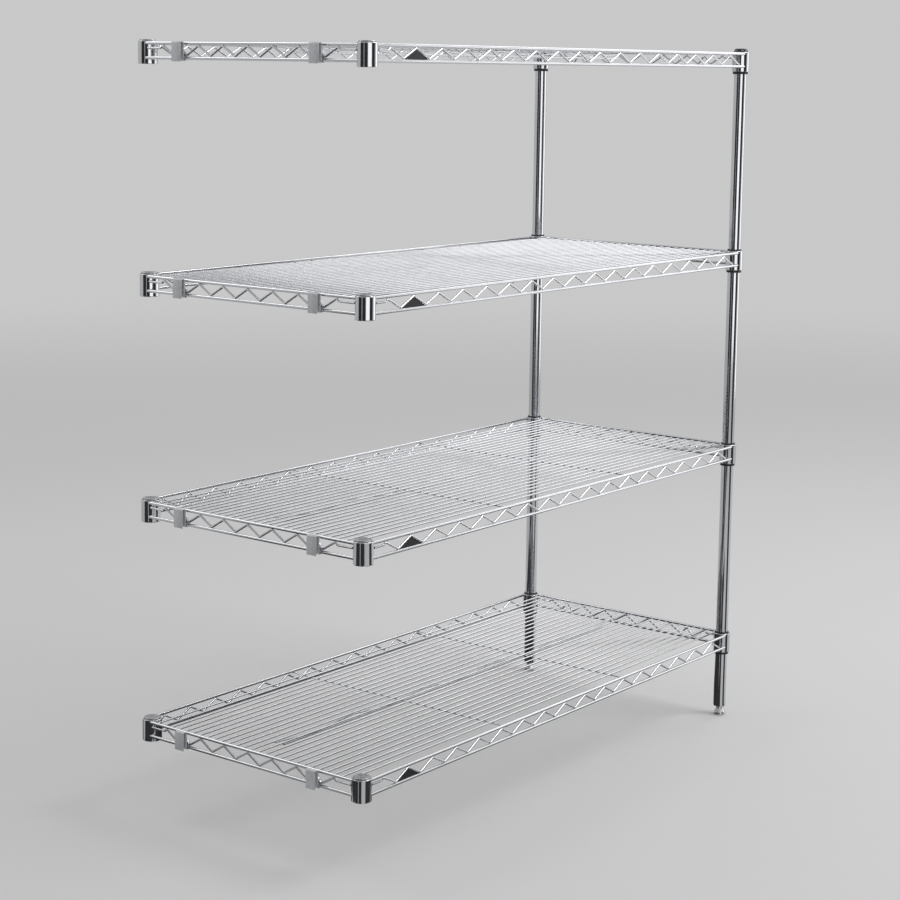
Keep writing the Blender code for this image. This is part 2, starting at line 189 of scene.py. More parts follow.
def threaded_stem(body, centre, low, high, radius, depth, pitch, around=32, rows=6):
    """A screw thread: the radius follows a helix up the stem."""
    steps = round((high - low) / pitch * rows)
    rings = []
    for i in range(steps + 1):
        z = low + (high - low) * i / steps
        ring = []
        for k in range(around):
            turn = k / around
            phase = ((z - low) / pitch - turn) % 1.0
            flank = abs(2.0 * phase - 1.0)
            fade = min(1.0, (high - z) / pitch, (z - low) / pitch)
            r = radius - depth * (1.0 - flank * fade)
            angle = 2 * math.pi * turn
            x = centre[0] + r * math.cos(angle)
            y = centre[1] + r * math.sin(angle)
            ring.append(body.verts.new((x, y, z)))
        rings.append(ring)
    for lower, upper in zip(rings, rings[1:]):
        for k in range(around):
            j = (k + 1) % around
            body.faces.new((lower[k], lower[j], upper[j], upper[k]))
    body.faces.new(rings[0][::-1])
    body.faces.new(rings[-1])


fit_gap = 0.0003
foot_radius = 0.0122
foot_neck = 0.0066
foot_neck_edge = 0.0004
foot_sole_edge = 0.0006
# The bell's outline, in shares of the neck's or the sole's radius and of the bell's height
bell_neck = ((1.0, 0.80), (1.04, 0.72), (1.16, 0.62), (1.36, 0.50))
bell_skirt = ((0.90, 0.34), (0.975, 0.22), (1.0, 0.13))
stem_radius = 0.0047
stem_thread = 0.0005
stem_root = 0.001
thread_pitch = 0.0015
insert_radius = post_radius - post_wall - fit_gap
insert_bore = stem_radius + fit_gap
foot_steel = worn_steel("foot_steel", (0.62, 0.63, 0.64), 0.24)
insert_steel = worn_steel("insert_steel", (0.60, 0.61, 0.62), 0.34)
for row in rows:
    x, y, _, tip = middle(f"foot_{row}")
    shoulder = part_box(f"post_{row}")[0][2] - fit_gap
    neck = [(foot_neck * share, shoulder * level) for share, level in bell_neck]
    skirt = [(foot_radius * share, shoulder * level) for share, level in bell_skirt]
    bell = turned(f"foot_bell_{row}", [
        (0.0, shoulder), (foot_neck - foot_neck_edge, shoulder), (foot_neck, shoulder - foot_neck_edge),
        *neck, *skirt, (foot_radius, foot_sole_edge), (foot_radius - foot_sole_edge, 0.0), (0.0, 0.0),
    ], (x, y), foot_steel, sides=72, angle=50)
    body = bmesh.new()
    threaded_stem(body, (x, y), shoulder - stem_root, tip, stem_radius, stem_thread, thread_pitch)
    stem = finish_mesh(body, f"foot_stem_{row}", foot_steel, 80)
    for piece in (bell, stem):
        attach(piece, f"foot_{row}")
    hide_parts(f"foot_{row}")
    x, y, low, high = middle(f"foot_insert_{row}")
    insert = turned(f"post_insert_{row}", [
        (insert_radius, high), (insert_radius, low), (insert_bore, low), (insert_bore, high),
    ], (x, y), insert_steel, closed=True)
    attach(insert, "posts")
    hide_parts(f"foot_insert_{row}")

# Post caps
# Low domed plugs of black plastic, pushed into the tops of the posts. Their rims are a little
# wider than the tube.


def moulded(name, colour, roughness, grain):
    """Injection-moulded plastic with a fine spark-eroded grain and slight handling shine."""
    plastic, tree, place = new_material(name)
    spark = noise(tree, place, scale=grain, detail=2.0)
    emboss_by(tree, spark, strength=0.25, distance=0.00008)
    rubbed = noise(tree, place, scale=90.0, detail=4.0)
    roughen_by(tree, rubbed, roughness - 0.08, roughness + 0.10)
    dark = [c * 0.8 for c in colour]
    bright = [c * 1.3 for c in colour]
    tint_by(tree, rubbed, ((0.3, dark), (0.75, bright)))
    return plastic


cap_plastic = moulded("cap_plastic", (0.020, 0.020, 0.022), 0.42, 2600.0)
cap_rim = 0.0132
cap_edge = 0.0002
# The dome's outline, in shares of the rim's radius and of the dome's rise
cap_dome = ((0.0, 0.0), (0.45, 0.04), (0.75, 0.16), (0.92, 0.40), (1.0, 0.70))
cap_plug = post_radius - post_wall - fit_gap
cap_plug_edge = 0.001
for row in rows:
    x, y, low, high = middle(f"post_cap_{row}")
    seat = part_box(f"post_{row}")[1][2] + fit_gap
    rise = high - seat
    dome = [(cap_rim * share, high - rise * drop) for share, drop in cap_dome]
    cap = turned(f"cap_{row}", dome + [
        (cap_rim, seat + cap_edge), (cap_rim - cap_edge, seat), (cap_plug, seat),
        (cap_plug, low + cap_plug_edge), (cap_plug - cap_plug_edge, low), (0.0, low),
    ], (x, y), cap_plastic, sides=72, angle=35)
    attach(cap, "posts")
    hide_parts(f"post_cap_{row}")

# Split sleeves
# Pairs of black plastic half shells, thicker at the foot, that clip round the post with an inner
# rib in its groove. The collar wedges down on them, so only a thin rim shows above and below it.


sleeve_bore = post_radius + fit_gap
sleeve_wall = 0.0013
sleeve_taper = 0.001 / 0.040
sleeve_above = 0.003
sleeve_below = 0.005
sleeve_rim_edge = 0.0002
sleeve_foot_edge = 0.0003
rib_depth = 0.0008
rib_half = 0.001
split_gap = 0.0003
sleeve_plastic = moulded("sleeve_plastic", (0.018, 0.018, 0.020), 0.46, 2200.0)


def sleeve_half(name, centre, base, height, azimuth, surface, steps=32):
    """A half shell, spun round its post, with its rib at mid height and its middle at an azimuth."""
    foot = base - sleeve_below
    top = base + height + sleeve_above
    waist = base + height / 2
    slim = sleeve_bore + sleeve_wall - sleeve_taper * sleeve_above
    stout = slim + sleeve_taper * (top - foot)
    profile = [
        (slim - sleeve_rim_edge, top), (slim, top - sleeve_rim_edge),
        (stout, foot + sleeve_foot_edge), (stout - sleeve_foot_edge, foot),
        (sleeve_bore, foot), (sleeve_bore, waist - rib_half), (sleeve_bore - rib_depth, waist),
        (sleeve_bore, waist + rib_half), (sleeve_bore, top),
    ]
    gap = split_gap / sleeve_bore
    body = bmesh.new()
    sweep = math.pi - 2 * gap
    rings = []
    for i in range(steps + 1):
        angle = azimuth - math.pi / 2 + gap + sweep * i / steps
        points = [(centre[0] + r * math.cos(angle), centre[1] + r * math.sin(angle), z) for r, z in profile]
        rings.append([body.verts.new(point) for point in points])
    for near, far in zip(rings, rings[1:]):
        for k in range(len(profile)):
            j = (k + 1) % len(profile)
            body.faces.new((near[k], near[j], far[j], far[k]))
    body.faces.new(rings[0])
    body.faces.new(rings[-1][::-1])
    return finish_mesh(body, name, surface, 35)


shelf_count = 4
shelves = range(1, shelf_count + 1)
collar_height = 0.040
for n in shelves:
    for row in rows:
        x, y = middle(f"post_{row}")[:2]
        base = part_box(f"shelf_{n}_{row}_right_collar")[0][2]
        for half in ("outer", "inner"):
            node = f"sleeve_{n}_{row}_{half}"
            low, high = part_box(node)
            azimuth = math.atan2((low[1] + high[1]) / 2 - y, (low[0] + high[0]) / 2 - x)
            sleeve = sleeve_half(f"split_sleeve_{n}_{row}_{half}", (x, y), base, collar_height,
                                 azimuth, sleeve_plastic)
            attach(sleeve, "posts")
            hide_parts(node)

# Corner collars
# Short steel sleeves at the four corners of each shelf, whose bores widen towards the foot. The
# rails are welded on with small beads, and the whole shelf is then plated as one piece.


collar_wall = 0.0018
collar_bore = sleeve_bore + sleeve_wall + fit_gap
collar_radius = collar_bore + sleeve_taper * collar_height + collar_wall
collar_foot_bore = collar_radius - collar_wall
collar_top_round = 0.0010
collar_foot_round = 0.0006
collar_foot_chamfer = 0.0002
collar_chamfer = 0.0003
collar_flat = 0.0014
collar_chrome = chrome("collar_chrome", (0.64, 0.65, 0.67), 0.06, (500.0, 500.0, 30.0), haze=0.03)
corners = {}
for n in shelves:
    for row in rows:
        for end in ("left", "right"):
            x, y, base, _ = middle(f"shelf_{n}_{row}_{end}_collar")
            corners[n, row, end] = (x, y, base)
            top = base + collar_height
            collar = turned(f"collar_{n}_{row}_{end}", [
                (collar_radius - collar_top_round, top),
                (collar_radius - collar_chamfer, top - collar_chamfer),
                (collar_radius, top - collar_top_round),
                # A ring near each end keeps the smooth shading of the straight wall even
                (collar_radius, top - collar_flat), (collar_radius, base + collar_flat),
                (collar_radius, base + collar_foot_round),
                (collar_radius - collar_foot_chamfer, base + collar_foot_chamfer),
                (collar_radius - collar_foot_round, base),
                (collar_foot_bore + collar_chamfer, base), (collar_foot_bore, base + collar_chamfer),
                (collar_bore, top - collar_chamfer), (collar_bore + collar_chamfer, top),
            ], (x, y), collar_chrome, sides=72, closed=True, angle=50)
            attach(collar, f"shelf_{n}")
            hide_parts(f"shelf_{n}_{row}_{end}_collar")

# Collar plugs
# Pressed steel plugs that close the collars at the end without posts, and ride on them. A low
# round head with a rolled edge and a dished middle stands on the collar, over a short skirt.


plug_head = collar_radius - 0.0026
plug_rise = 0.0026
plug_skirt = 0.0019
plug_skirt_radius = collar_bore - 0.0002
plug_edge = 0.0003
plug_crown_edge = 0.0009
plug_dish = 0.0010
plug_ring_drop = 0.0004
# Radii of the small raised ring in the dish, and the inner side of the rolled edge
plug_ring = ((0.0, plug_dish), (0.0012, plug_dish), (0.0019, plug_ring_drop),
             (0.0030, plug_ring_drop), (0.0038, plug_dish))
plug_roll = ((0.66, plug_dish), (0.72, 0.0002), (0.78, 0.0))
plug_steel = worn_steel("plug_steel", (0.46, 0.46, 0.47), 0.26)
for n in shelves:
    for row in rows:
        x, y, base = corners[n, row, "left"]
        rim = base + collar_height
        crown = rim + plug_rise
        ring = [(r, crown - drop) for r, drop in plug_ring]
        roll = [(plug_head * share, crown - drop) for share, drop in plug_roll]
        plug = turned(f"collar_plug_{n}_{row}", ring + roll + [
            (plug_head - plug_crown_edge, crown), (plug_head - plug_edge, crown - plug_edge),
            (plug_head, crown - plug_dish), (plug_head, rim + plug_edge), (plug_head - plug_edge, rim),
            (plug_skirt_radius, rim), (plug_skirt_radius, rim - plug_skirt + plug_edge),
            (plug_skirt_radius - plug_edge, rim - plug_skirt), (0.0, rim - plug_skirt),
        ], (x, y), plug_steel, sides=72, angle=50)
        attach(plug, f"shelf_{n}")

# Rails
# Two round wires, one above the other, along each side of a shelf, cut to length and welded
# to the sides of the collars. A thinner wire bent to a zigzag is welded between them.


def tree_with(name, inputs):
    """A geometry tree with named inputs, its input node, and an output node ready to link."""
    tree = bpy.data.node_groups.new(name, "GeometryNodeTree")
    tree.is_modifier = True
    for label, kind in inputs.items():
        tree.interface.new_socket(label, in_out="INPUT", socket_type="NodeSocket" + kind)
    tree.interface.new_socket("Wire", in_out="OUTPUT", socket_type="NodeSocketGeometry")
    return tree, tree.nodes.new("NodeGroupInput"), tree.nodes.new("NodeGroupOutput")


def finish_tree(tree, start, end, made):
    """The last nodes of a tree, which make its pieces real and plate them."""
    realize = tree.nodes.new("GeometryNodeRealizeInstances")
    tree.links.new(made, realize.inputs["Geometry"])
    paint = tree.nodes.new("GeometryNodeSetMaterial")
    tree.links.new(realize.outputs["Geometry"], paint.inputs["Geometry"])
    tree.links.new(start.outputs["Plating"], paint.inputs["Material"])
    tree.links.new(paint.outputs["Geometry"], end.inputs["Wire"])


def sweep_and_finish(tree, start, end, path):
    """Nodes that give a path a round section, closed ends and its material."""
    nodes = tree.nodes
    links = tree.links
    section = nodes.new("GeometryNodeCurvePrimitiveCircle")
    links.new(start.outputs["Sides"], section.inputs["Resolution"])
    links.new(start.outputs["Wire Radius"], section.inputs["Radius"])
    sweep = nodes.new("GeometryNodeCurveToMesh")
    sweep.inputs["Fill Caps"].default_value = True
    links.new(path, sweep.inputs["Curve"])
    links.new(section.outputs["Curve"], sweep.inputs["Profile Curve"])
    finish_tree(tree, start, end, sweep.outputs["Mesh"])


def rounded_path(tree, start):
    """Nodes that turn the edges of a mesh into a curve with rounded bends."""
    nodes = tree.nodes
    links = tree.links
    curve = nodes.new("GeometryNodeMeshToCurve")
    links.new(start.outputs["Path"], curve.inputs["Mesh"])
    fillet = nodes.new("GeometryNodeFilletCurve")
    fillet.mode = "POLY"
    fillet.inputs["Limit Radius"].default_value = True
    links.new(curve.outputs["Curve"], fillet.inputs["Curve"])
    links.new(start.outputs["Bend Radius"], fillet.inputs["Radius"])
    links.new(start.outputs["Bend Steps"], fillet.inputs["Count"])
    return fillet.outputs["Curve"]


def bent_wire_tree():
    """A wire along the edges of a mesh, with rounded bends."""
    tree, start, end = tree_with("bent_wire", {
        "Path": "Geometry", "Wire Radius": "Float", "Bend Radius": "Float", "Bend Steps": "Int",
        "Sides": "Int", "Plating": "Material"})
    sweep_and_finish(tree, start, end, rounded_path(tree, start))
    return tree


def plain_mesh(builder):
    """The mesh that an object's modifiers make, without the object."""
    made = bpy.data.meshes.new_from_object(builder.evaluated_get(bpy.context.evaluated_depsgraph_get()))
    bpy.data.objects.remove(builder)
    return made


def evaluate(tree, mesh, values):
    """The plain mesh that a tree makes of a mesh, from its inputs by their labels."""
    builder = bpy.data.objects.new("builder", mesh)
    bpy.context.collection.objects.link(builder)
    modifier = builder.modifiers.new("make", "NODES")
    modifier.node_group = tree
    sockets = {item.name: item.identifier for item in tree.interface.items_tree if item.in_out == "INPUT"}
    for label, value in values.items():
        modifier[sockets[label]] = value
    return plain_mesh(builder)


def path_mesh(path):
    """A mesh of edges only, along the points of a path."""
    mesh = bpy.data.meshes.new("path")
    mesh.from_pydata(path, [(i, i + 1) for i in range(len(path) - 1)], [])
    return mesh


def wire_piece(name, meshes, body, replaced=None):
    """One piece from several plain meshes, with outward faces; it rides on a body."""
    joined = bmesh.new()
    surface = meshes[0].materials[0]
    for mesh in meshes:
        joined.from_mesh(mesh)
    for face in joined.faces:
        face.material_index = 0
    piece = finish_mesh(joined, name, surface, 50)
    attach(piece, body)
    if replaced:
        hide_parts(replaced)


rail_radius = 0.0028
rail_spacing = 0.0254
rail_drop = 0.0040
zigzag_radius = 0.0020
zigzag_bend = 0.0042
zigzag_rise = 0.0004
zigzag_start = collar_radius * 0.75
weld_sink = 0.0004
rail_outset = collar_radius / 2 ** 0.5
upper = collar_height - rail_drop
lower = upper - rail_spacing
wire_chrome = chrome("wire_chrome", (0.68, 0.69, 0.71), 0.10, (260.0, 260.0, 260.0), haze=0.05)
bent_wire = bent_wire_tree()


def rail_wire(corner_a, corner_b, axis, side, height):
    """A rail wire along X (axis 0) or Y (axis 1), with its ends cut on the slant to the collars."""
    across = 1 - axis
    seat = collar_radius - collar_wall * 0.5
    line = corner_a[across] + side * rail_outset
    reach = 2 ** 0.5 * seat - rail_outset
    ends = []
    for value in (corner_a[axis] + reach, corner_b[axis] - reach):
        point = [0.0, 0.0, corner_a[2] + height]
        point[axis] = value
        point[across] = line
        ends.append(tuple(point))
    mesh = evaluate(bent_wire, path_mesh(ends), {
        "Wire Radius": rail_radius, "Bend Radius": 0.0, "Bend Steps": 1, "Sides": 20,
        "Plating": wire_chrome})
    for vertex in mesh.vertices:
        slant = side * (vertex.co[across] - line)
        if abs(vertex.co[axis] - ends[0][axis]) < 1e-5:
            vertex.co[axis] -= slant
        else:
            vertex.co[axis] += slant
    return mesh


def bend_heights():
    """Heights of the zigzag's corners, which rise past its rounded bends to the welds."""
    inset = rail_radius + zigzag_radius - weld_sink - zigzag_rise
    return upper - inset, lower + inset


front_first_peak = 0.042
front_last_valley = 0.030
front_tooth = 0.0675
stretch_drop = 0.0085
stretch_rise = 0.005


def long_zigzag(length):
    """Corners of a long rail's zigzag as (run, height): a short first peak, then even teeth."""
    peak, valley = bend_heights()
    room = length - front_first_peak - front_last_valley
    halves = 2 * round(room / front_tooth - 0.5) + 1
    step = room / halves
    level = upper - stretch_drop
    bends = [(zigzag_start, level), (front_first_peak - stretch_rise, level)]
    for i in range(halves + 1):
        bends.append((front_first_peak + i * step, peak if i % 2 == 0 else valley))
    return bends


zigzag_values = {
    "Wire Radius": zigzag_radius, "Bend Radius": zigzag_bend, "Bend Steps": 5, "Sides": 14,
    "Plating": wire_chrome}
for n in shelves:
    for row, side in (("front", -1), ("rear", 1)):
        left = corners[n, row, "left"]
        right = corners[n, row, "right"]
        line = left[1] + side * rail_outset
        path = [(left[0] + s, line, left[2] + z) for s, z in long_zigzag(right[0] - left[0])]
        wires = [rail_wire(left, right, 0, side, height) for height in (upper, lower)]
        wires.append(evaluate(bent_wire, path_mesh(path), zigzag_values))
        wire_piece(f"rail_{n}_{row}", wires, f"shelf_{n}", f"shelf_{n}_{row}_rail")

# End rails
# The same pair of wires across each end. Their zigzag has a narrow tooth near each corner, where
# the S-hooks sit, and leaves the collars level before its first bend.


end_first_peak = 0.050
end_first_valley = 0.079
narrow_tooth = 0.028
end_tooth = 0.0572


def end_zigzag(length):
    """Corners of an end rail's zigzag as (run, height), the same from both corners."""
    peak, valley = bend_heights()
    first = end_first_valley + narrow_tooth
    teeth = max(1, round((length - 2 * first) / end_tooth))
    half = (length / 2 - first) / teeth
    level = upper - stretch_drop
    start = [(zigzag_start, level), (end_first_peak - stretch_rise, level), (end_first_peak, peak),
             (end_first_valley, valley), (end_first_valley + narrow_tooth / 2, peak)]
    even = [(first + i * half, valley if i % 2 == 0 else peak) for i in range(2 * teeth + 1)]
    return start + even + [(length - s, z) for s, z in start[::-1]]


for n in shelves:
    wires = []
    for end, side in (("left", -1), ("right", 1)):
        near = corners[n, "front", end]
        far = corners[n, "rear", end]
        line = near[0] + side * rail_outset
        path = [(line, near[1] + s, near[2] + z) for s, z in end_zigzag(far[1] - near[1])]
        wires += [rail_wire(near, far, 1, side, height) for height in (upper, lower)]
        wires.append(evaluate(bent_wire, path_mesh(path), zigzag_values))
    wire_piece(f"end_rails_{n}", wires, f"shelf_{n}", f"shelf_{n}_deck")

# Deck wires
# Evenly spaced straight wires along the whole shelf, laid in one jig and welded to the end
# rails and to the cross wires under them.


def straight_wires_tree():
    """A row of equal straight wires: a line of points, with one wire placed on each."""
    tree, start, end = tree_with("straight_wires", {
        "Base": "Geometry", "Count": "Int", "First Start": "Vector", "First End": "Vector",
        "Step": "Vector", "Wire Radius": "Float", "Sides": "Int", "Plating": "Material"})
    nodes = tree.nodes
    links = tree.links
    row = nodes.new("GeometryNodeMeshLine")
    links.new(start.outputs["Count"], row.inputs["Count"])
    links.new(start.outputs["Step"], row.inputs["Offset"])
    wire = nodes.new("GeometryNodeCurvePrimitiveLine")
    links.new(start.outputs["First Start"], wire.inputs["Start"])
    links.new(start.outputs["First End"], wire.inputs["End"])
    copies = nodes.new("GeometryNodeInstanceOnPoints")
    links.new(row.outputs["Mesh"], copies.inputs["Points"])
    links.new(wire.outputs["Curve"], copies.inputs["Instance"])
    loose = nodes.new("GeometryNodeRealizeInstances")
    links.new(copies.outputs["Instances"], loose.inputs["Geometry"])
    sweep_and_finish(tree, start, end, loose.outputs["Geometry"])
    return tree


deck_radius = 0.0016
deck_pitch = 0.0177
deck_drop = 0.001
deck_side_gap = 0.0012
straight_wires = straight_wires_tree()


def row_of_wires(first_start, first_end, step, count, radius):
    """The mesh of a row of straight wires, each a step beside the last."""
    return evaluate(straight_wires, bpy.data.meshes.new("base"), {
        "Count": count, "First Start": first_start, "First End": first_end, "Step": step,
        "Wire Radius": radius, "Sides": 12, "Plating": wire_chrome})


for n in shelves:
    left_x, front_y, base = corners[n, "front", "left"]
    right_x, rear_y, _ = corners[n, "rear", "right"]
    room = (rear_y - front_y) / 2 - collar_radius - deck_radius - deck_side_gap
    half_count = round(room / deck_pitch)
    z = base + upper - deck_drop
    wires = row_of_wires((left_x - rail_outset, (front_y + rear_y) / 2 - room, z),
                         (right_x + rail_outset, (front_y + rear_y) / 2 - room, z),
                         (0.0, room / half_count, 0.0), 2 * half_count + 1, deck_radius)
    wire_piece(f"deck_wires_{n}", [wires], f"shelf_{n}")

# Cross wires
# Two thin front-to-back wires under the deck, a third of the length from each end, that hold the
# deck wires at their spacing. They end under the upper rail wires.


cross_radius = 0.0012
cross_sink = 0.0002
cross_overhang = 0.0006
for n in shelves:
    left_x, front_y, base = corners[n, "front", "left"]
    right_x, rear_y, _ = corners[n, "rear", "right"]
    third = (right_x - left_x) / 3
    z = base + upper - deck_drop - deck_radius - cross_radius + cross_sink
    wires = row_of_wires((left_x + third, front_y - rail_outset - cross_overhang, z),
                         (left_x + third, rear_y + rail_outset + cross_overhang, z),
                         (third, 0.0, 0.0), 2, cross_radius)
    wire_piece(f"cross_wires_{n}", [wires], f"shelf_{n}")

# Centre truss
# A wire under the middle of the deck with a zigzag between it and the middle deck wire, which
# stops a long shelf from sagging.


keel_radius = 0.0018
keel_drop = 0.013
keel_bays = 5
keel_inset = 0.0675
keel_end = 0.022
keel_bend = 0.004
keel_lap = deck_radius * 1.4
for n in shelves:
    left_x, front_y, base = corners[n, "front", "left"]
    right_x, rear_y, _ = corners[n, "rear", "right"]
    centre_x = (left_x + right_x) / 2
    centre_y = (front_y + rear_y) / 2
    reach = (right_x - left_x) / 2 + rail_outset - rail_radius - keel_inset
    low = base + upper - keel_drop
    high = base + upper - deck_drop - keel_lap
    bends = [(centre_x - reach + reach * i / keel_bays, centre_y, high if i % 2 == 0 else low + deck_radius)
             for i in range(2 * keel_bays + 1)]
    zigzag = evaluate(bent_wire, path_mesh(bends), {
        "Wire Radius": deck_radius, "Bend Radius": keel_bend, "Bend Steps": 4, "Sides": 12,
        "Plating": wire_chrome})
    line = [(centre_x - reach + keel_end, centre_y, low), (centre_x + reach - keel_end, centre_y, low)]
    bottom = evaluate(bent_wire, path_mesh(line), {
        "Wire Radius": keel_radius, "Bend Radius": 0.0, "Bend Steps": 1, "Sides": 14,
        "Plating": wire_chrome})
    wire_piece(f"centre_truss_{n}", [bottom, zigzag], f"shelf_{n}")

# Weld beads
# Small flattened beads of weld metal, one at each end of every rail wire, where it is fixed to its
# collar. They are left as welded, and plated over with the rest of the shelf.


bead_size = 0.0034
bead_height = 0.62
bead_sink = 0.0006
bead_inset = 0.0010


def weld_bead(body, where, along):
    """A small flattened bead of weld metal where a wire meets a collar."""
    turn = Vector(along).to_track_quat("Z", "Y").to_matrix().to_4x4()
    scale = Matrix.Diagonal((bead_size, bead_size, bead_size * bead_height, 1.0))
    bmesh.ops.create_uvsphere(body, u_segments=14, v_segments=8, radius=1.0,
                              matrix=Matrix.Translation(where) @ turn @ scale)


bead_along = 2 ** 0.5 * collar_radius - rail_outset - bead_sink
bead_aside = rail_outset - bead_inset
for n in shelves:
    body = bmesh.new()
    for row, side_y in (("front", -1), ("rear", 1)):
        for end, side_x in (("left", -1), ("right", 1)):
            x, y, base = corners[n, row, end]
            for height in (upper, lower):
                on_long_rail = (x - side_x * bead_along, y + side_y * bead_aside, base + height)
                on_end_rail = (x + side_x * bead_aside, y - side_y * bead_along, base + height)
                weld_bead(body, on_long_rail, (-side_x, side_y, 0.0))
                weld_bead(body, on_end_rail, (side_x, -side_y, 0.0))
    beads = finish_mesh(body, f"weld_beads_{n}", wire_chrome, 60)
    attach(beads, f"shelf_{n}")

# Label plates
# A black plastic triangle clipped into a window of each front rail, near the left corner. It is
# left plain, with a thin raised rim.


plate_half = 0.0006
plate_rim = 0.0016
plate_step = 0.0003
plate_foot = lower + rail_radius * 0.5
plate_plastic = moulded("plate_plastic", (0.010, 0.010, 0.011), 0.52, 1800.0)
for n in shelves:
    left = corners[n, "front", "left"]
    right = corners[n, "front", "right"]
    first, apex, last = long_zigzag(right[0] - left[0])[3:6]
    outline = [(first[0], plate_foot), (last[0], plate_foot), (apex[0], apex[1] - zigzag_radius)]
    y = left[1] - rail_outset
    body = bmesh.new()
    back = [body.verts.new((left[0] + s, y + plate_half, left[2] + z)) for s, z in outline]
    front = [body.verts.new((left[0] + s, y - plate_half, left[2] + z)) for s, z in outline]
    body.faces.new(back)
    face = body.faces.new(front[::-1])
    for k in range(3):
        j = (k + 1) % 3
        body.faces.new((back[k], back[j], front[j], front[k]))
    bmesh.ops.recalc_face_normals(body, faces=body.faces)
    bmesh.ops.inset_region(body, faces=[face], thickness=plate_rim, depth=0.0)
    bmesh.ops.inset_region(body, faces=[face], thickness=plate_step, depth=-plate_step)
    plate = finish_mesh(body, f"label_plate_{n}", plate_plastic, 30)
    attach(plate, f"shelf_{n}")

# S-hooks
# Flat steel strips bent to an S and dull zinc plated. Each sits under the lower end wire and its
# top fold lies over the upper end wire of the next unit.


def bent_strip_tree():
    """A ribbon along the edges of a mesh: rounded bends, then drawn out to the strip's width."""
    tree, start, end = tree_with("bent_strip", {
        "Path": "Geometry", "Width": "Float", "Bend Radius": "Float", "Bend Steps": "Int",
        "Plating": "Material"})
    nodes = tree.nodes
    links = tree.links
    chain = nodes.new("GeometryNodeCurveToMesh")
    links.new(rounded_path(tree, start), chain.inputs["Curve"])
    across = nodes.new("ShaderNodeCombineXYZ")
    links.new(start.outputs["Width"], across.inputs["Y"])
    draw = nodes.new("GeometryNodeExtrudeMesh")
    draw.mode = "EDGES"
    links.new(chain.outputs["Mesh"], draw.inputs["Mesh"])
    links.new(across.outputs["Vector"], draw.inputs["Offset"])
    finish_tree(tree, start, end, draw.outputs["Mesh"])
    return tree


def solid_strip(ribbon, thickness, rounding):
    """The ribbon with its thickness, half to each side, and slightly rounded edges."""
    builder = bpy.data.objects.new("builder", ribbon)
    bpy.context.collection.objects.link(builder)
    wall = builder.modifiers.new("wall", "SOLIDIFY")
    wall.thickness = thickness
    wall.offset = 0.0
    wall.use_even_offset = True
    edge = builder.modifiers.new("edge", "BEVEL")
    edge.width = rounding
    edge.segments = 2
    edge.limit_method = "ANGLE"
    edge.angle_limit = math.radians(50)
    return plain_mesh(builder)


hook_width = 0.021
hook_strip = 0.0015
hook_inner_leg = 0.010
hook_outer_drop = 0.0056
hook_bend = 0.0022
hook_edge = 0.00028
neighbour_drop = 0.0012
hook_zinc = worn_steel("hook_zinc", (0.60, 0.615, 0.635), 0.46, metallic=0.35)
bent_strip = bent_strip_tree()
hook_seat = rail_radius + fit_gap
mid_web = hook_seat + hook_strip / 2
mid_outer = hook_seat + hook_strip + 2 * hook_seat + hook_strip / 2
for n in shelves:
    for row in rows:
        y = middle(f"s_hook_{n}_{row}")[1] - hook_width / 2
        x, _, base = corners[n, "front", "left"]
        wire_x = x - rail_outset
        low = base + lower
        fold = base + upper - neighbour_drop + hook_seat + hook_strip / 2
        path = [
            (wire_x + mid_web, y, low + hook_inner_leg), (wire_x + mid_web, y, low - mid_web),
            (wire_x - mid_web, y, low - mid_web), (wire_x - mid_web, y, fold),
            (wire_x - mid_outer, y, fold), (wire_x - mid_outer, y, low - hook_outer_drop),
        ]
        ribbon = evaluate(bent_strip, path_mesh(path), {
            "Width": hook_width, "Bend Radius": hook_bend, "Bend Steps": 6, "Plating": hook_zinc})
        hook = solid_strip(ribbon, hook_strip, hook_edge)
        wire_piece(f"hook_{n}_{row}", [hook], f"hook_{n}_{row}", f"s_hook_{n}_{row}")

# Floor, backdrop and lights
# A plain pale floor that fades into the backdrop, and large soft lamps. Two of the lamps and all
# the cards show only in the plating, where they make the pale and dark stripes of a darker room.


def fading_paper(name, colour, near_edge, far_edge):
    """Matt paper that turns clear with the distance from the unit, so that no edge shows."""
    paper, tree, place = new_material(name)
    shader = tree.nodes["Principled BSDF"]
    shader.inputs["Base Color"].default_value = (*colour, 1.0)
    shader.inputs["Roughness"].default_value = 0.7
    shader.inputs["Specular IOR Level"].default_value = 0.0
    distance = tree.nodes.new("ShaderNodeVectorMath")
    distance.operation = "LENGTH"
    tree.links.new(place, distance.inputs[0])
    fade = tree.nodes.new("ShaderNodeMapRange")
    fade.interpolation_type = "SMOOTHSTEP"
    fade.inputs["From Min"].default_value = near_edge
    fade.inputs["From Max"].default_value = far_edge
    fade.inputs["To Min"].default_value = 1.0
    fade.inputs["To Max"].default_value = 0.0
    tree.links.new(distance.outputs["Value"], fade.inputs["Value"])
    tree.links.new(fade.outputs["Result"], shader.inputs["Alpha"])
    return paper


floor_radius = 9.0
floor_fade = (2.2, 8.5)
floor_drop = 0.0005
disc = bmesh.new()
bmesh.ops.create_circle(disc, cap_ends=True, segments=96, radius=floor_radius)
floor_mesh = bpy.data.meshes.new("floor")
disc.to_mesh(floor_mesh)
disc.free()
floor_mesh.materials.append(fading_paper("floor_paper", (0.66, 0.66, 0.66), *floor_fade))
floor = bpy.data.objects.new("floor", floor_mesh)
floor.location = (0.0, 0.0, -floor_drop)
bpy.context.collection.objects.link(floor)

world = bpy.data.worlds.new("studio")
world.use_nodes = True
bpy.context.scene.world = world
backdrop = world.node_tree.nodes["Background"]
backdrop.inputs["Color"].default_value = (0.58, 0.58, 0.585, 1.0)
backdrop.inputs["Strength"].default_value = 1.0


